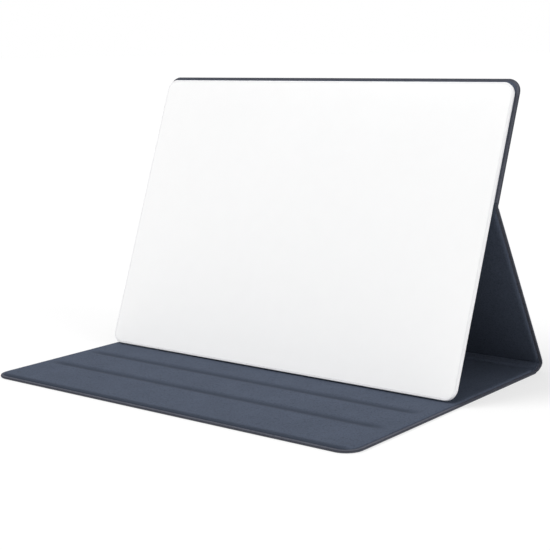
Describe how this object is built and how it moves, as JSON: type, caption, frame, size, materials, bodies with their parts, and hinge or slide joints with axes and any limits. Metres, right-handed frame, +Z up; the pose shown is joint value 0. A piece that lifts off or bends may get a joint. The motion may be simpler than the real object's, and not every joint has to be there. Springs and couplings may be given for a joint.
{
  "type": "whiteboard easel",
  "caption": "Magnetic dry-erase board on a folding leather-covered stand: it leans on a rear leg, reclines over seat grooves, and folds open flat.",
  "frame": {"origin": "on the desk, under the slab's foot, at mid width", "axes": "+X along the board's width, to the right of someone facing it; +Y towards the rear; +Z up"},
  "size_m": [0.301, 0.2274, 0.1983],
  "materials": {
    "writing_film": "glossy white dry-erase film",
    "steel": "thin galvanised sheet",
    "core": "light filler board",
    "back_film": "matt white backing sheet",
    "edge_band": "white edge band",
    "tape": "double-sided tape",
    "outer_leather": "dark slate-navy fine-grained coated leather, satin",
    "inner_leather": "slate-navy fine-grained coated leather, satin",
    "stiffener_board": "dense grey-brown board",
    "magnet": "nickel-plated block magnet"
  },
  "bodies": {
    "base": {"base_skin": "outer_leather", "base_stiffener": "stiffener_board", "base_lining": "inner_leather", "base_fold_skin": "outer_leather", "base_fold_lining": "inner_leather", "rear_seat_magnets": "magnet", "middle_seat_magnets": "magnet", "front_seat_magnets": "magnet"},
    "spine": {"spine_skin": "outer_leather", "spine_stiffener": "stiffener_board", "spine_lining": "inner_leather", "leg_fold_skin": "outer_leather", "leg_fold_lining": "inner_leather"},
    "leg": {"leg_skin": "outer_leather", "leg_stiffener": "stiffener_board", "leg_lining": "inner_leather", "board_fold_skin": "outer_leather", "board_fold_lining": "inner_leather"},
    "board": {"upper_back_skin": "outer_leather", "upper_back_stiffener": "stiffener_board", "upper_back_lining": "inner_leather", "mounting_tape": "tape", "board_back_film": "back_film", "board_core": "core", "steel_sheet": "steel", "writing_film": "writing_film", "board_edge_band": "edge_band"}
  },
  "joints": [
    {"name": "base_fold", "type": "hinge", "parent": "base", "child": "spine", "pos_m": [0, 0.1045, 0.0014], "axis": [-1, 0, 0], "range_deg": [0, 27.5]},
    {"name": "leg_fold", "type": "hinge", "parent": "spine", "child": "leg", "pos_m": [0, 0.11204, 0.00532], "axis": [1, 0, 0], "range_deg": [-21.6, 15.9]},
    {"name": "board_fold", "type": "hinge", "parent": "leg", "child": "board", "pos_m": [0, 0.04534, 0.1197], "axis": [-1, 0, 0], "range_deg": [-50.4, 37]}
  ],
  "couplings": [
    {"joint": "leg_fold", "follows": "board_fold", "ratio": 0.4274}
  ]
}
